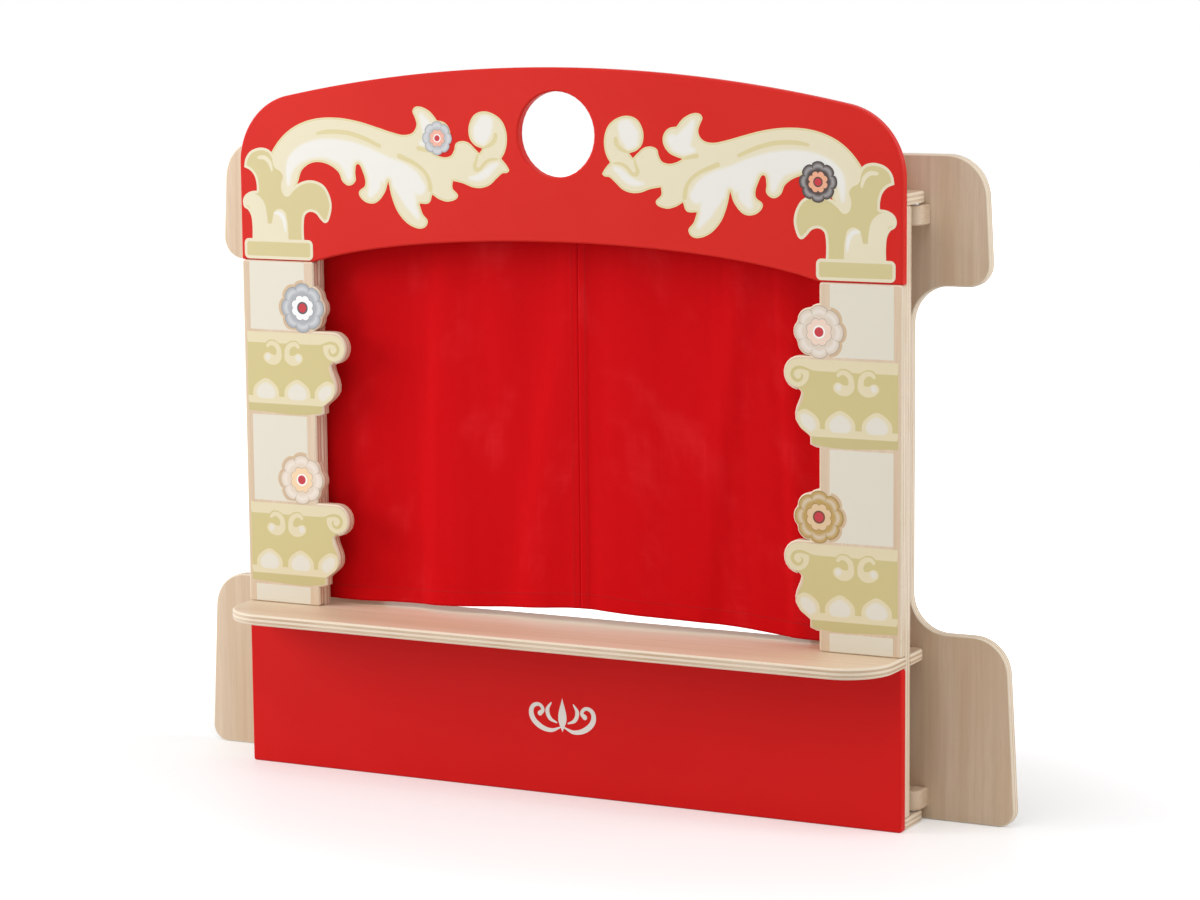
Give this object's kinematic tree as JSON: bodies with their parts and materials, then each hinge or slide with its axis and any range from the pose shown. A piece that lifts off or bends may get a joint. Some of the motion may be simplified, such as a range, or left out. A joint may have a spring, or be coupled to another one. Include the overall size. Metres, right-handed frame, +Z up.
{
  "type": "puppet theater stand",
  "caption": "Floor-standing plywood puppet theatre: arched header on two posts, ledge over a front board, pair of curtains on a rod and two side wings that swing forward.",
  "frame": {"origin": "on the floor, in the middle of the width and of the depth", "axes": "+X to the right seen from the audience, along the stage; +Y from the audience to the back; +Z up"},
  "size_m": [0.9774, 0.152, 0.776],
  "materials": {
    "red_paint": "satin red paint on birch plywood, edges painted",
    "birch_plywood": "clear-coated birch plywood, light ply lines on the edges",
    "solid_beech": "plain sanded beech",
    "steel": "plain turned steel",
    "red_cloth": "plain-weave red cotton",
    "cream_print": "cream ink printed on the board",
    "khaki_print": "khaki ink printed on the board"
  },
  "bodies": {
    "root": {"front_panel": "red_paint", "header": "red_paint", "stage_ledge": "birch_plywood", "post_front_right": "birch_plywood", "post_front_left": "birch_plywood", "upright_right": "birch_plywood", "upright_left": "birch_plywood", "base_plate": "birch_plywood", "top_plate": "birch_plywood", "lower_pivot_pin_right": "steel", "lower_washer_right": "steel", "upper_pivot_pin_right": "steel", "upper_washer_right": "steel", "lower_pivot_pin_left": "steel", "lower_washer_left": "steel", "upper_pivot_pin_left": "steel", "upper_washer_left": "steel", "curtain_rod": "solid_beech", "rod_cleat_right": "solid_beech", "rod_cleat_left": "solid_beech"},
    "wing_right": {"wing_right": "birch_plywood", "lower_pivot_block_right": "solid_beech", "upper_pivot_block_right": "solid_beech"},
    "wing_left": {"wing_left": "birch_plywood", "lower_pivot_block_left": "solid_beech", "upper_pivot_block_left": "solid_beech"},
    "curtain_right": {"curtain_right": "red_cloth"},
    "curtain_left": {"curtain_left": "red_cloth"}
  },
  "joints": [
    {"name": "wing_right_swing", "type": "hinge", "parent": "root", "child": "wing_right", "pos_m": [0.37925, 0.0495, 0.345], "axis": [0, 0, -1], "range_deg": [0, 90]},
    {"name": "wing_left_swing", "type": "hinge", "parent": "root", "child": "wing_left", "pos_m": [-0.37925, 0.0495, 0.345], "axis": [0, 0, 1], "range_deg": [0, 90]},
    {"name": "curtain_right_open", "type": "slide", "parent": "root", "child": "curtain_right", "axis": [1, 0, 0], "range_m": [0, 0.23], "deforming": ["curtain_right"]},
    {"name": "curtain_left_open", "type": "slide", "parent": "root", "child": "curtain_left", "axis": [-1, 0, 0], "range_m": [0, 0.24], "deforming": ["curtain_left"]}
  ]
}
